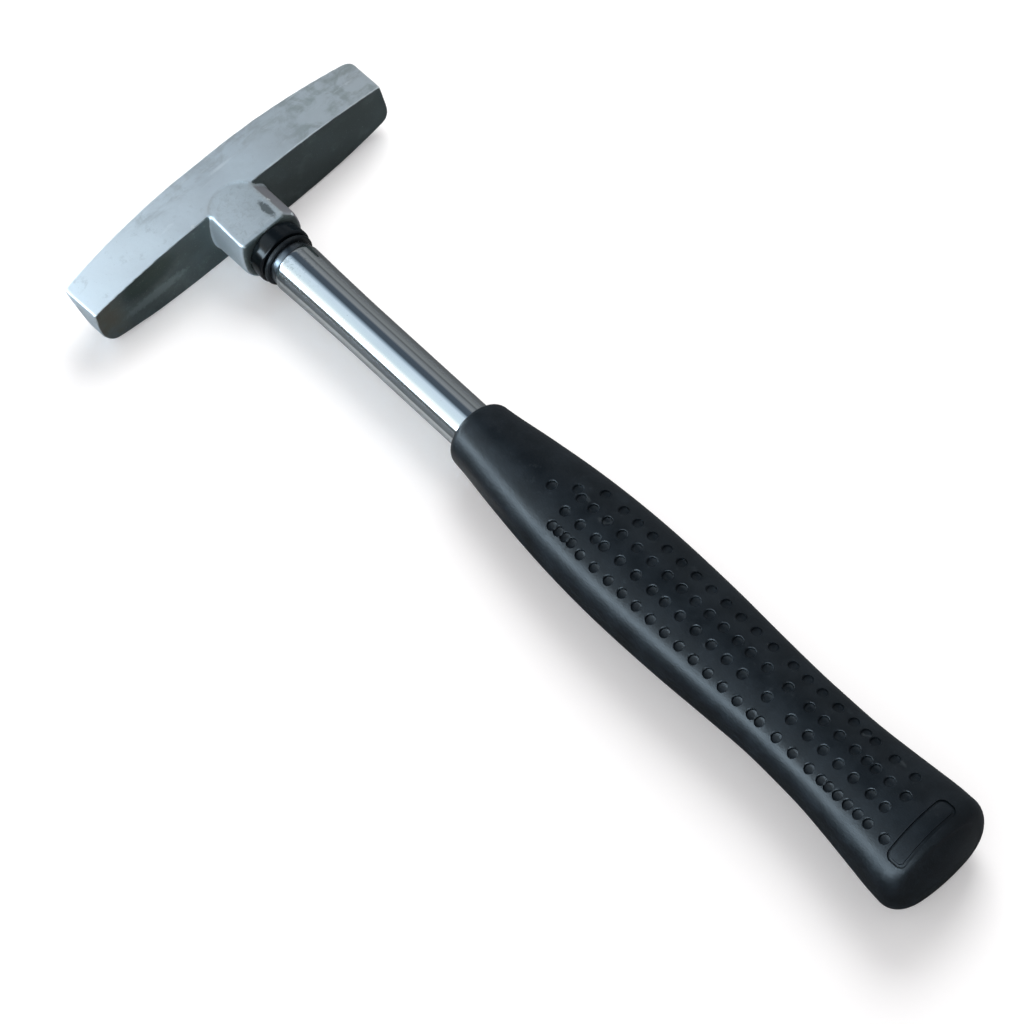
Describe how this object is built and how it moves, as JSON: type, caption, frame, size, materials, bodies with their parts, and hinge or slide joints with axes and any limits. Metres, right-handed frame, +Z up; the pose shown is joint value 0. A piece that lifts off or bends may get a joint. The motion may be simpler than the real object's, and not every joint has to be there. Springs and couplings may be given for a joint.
{
  "type": "tack hammer",
  "caption": "Tack hammer with a bowed double ended steel head, a boss for its bright tubular handle, a black collar at the neck and a dimpled rubber grip.",
  "frame": {"origin": "on the ground under the middle of the bounding box, with the hammer lying on its side", "axes": "+X along the handle from the head towards the butt, +Y along the head, +Z up out of the upper cheek"},
  "size_m": [0.3246, 0.113, 0.0298],
  "materials": {
    "head_steel": "forged and blasted grey steel with bright worn edges",
    "tube_chrome": "polished chrome plating",
    "bush_plastic": "glossy black moulded plastic",
    "ring_rubber": "smooth black rubber",
    "plug_steel": "plain turned steel",
    "plug_plastic": "plain black plastic",
    "grip_rubber": "satin black rubber with rows of round dimples"
  },
  "bodies": {
    "root": {"head": "head_steel", "handle_tube": "tube_chrome", "neck_bush": "bush_plastic", "neck_ring": "ring_rubber", "eye_plug": "plug_steel", "tube_end_plug": "plug_plastic", "grip": "grip_rubber"}
  },
  "joints": []
}
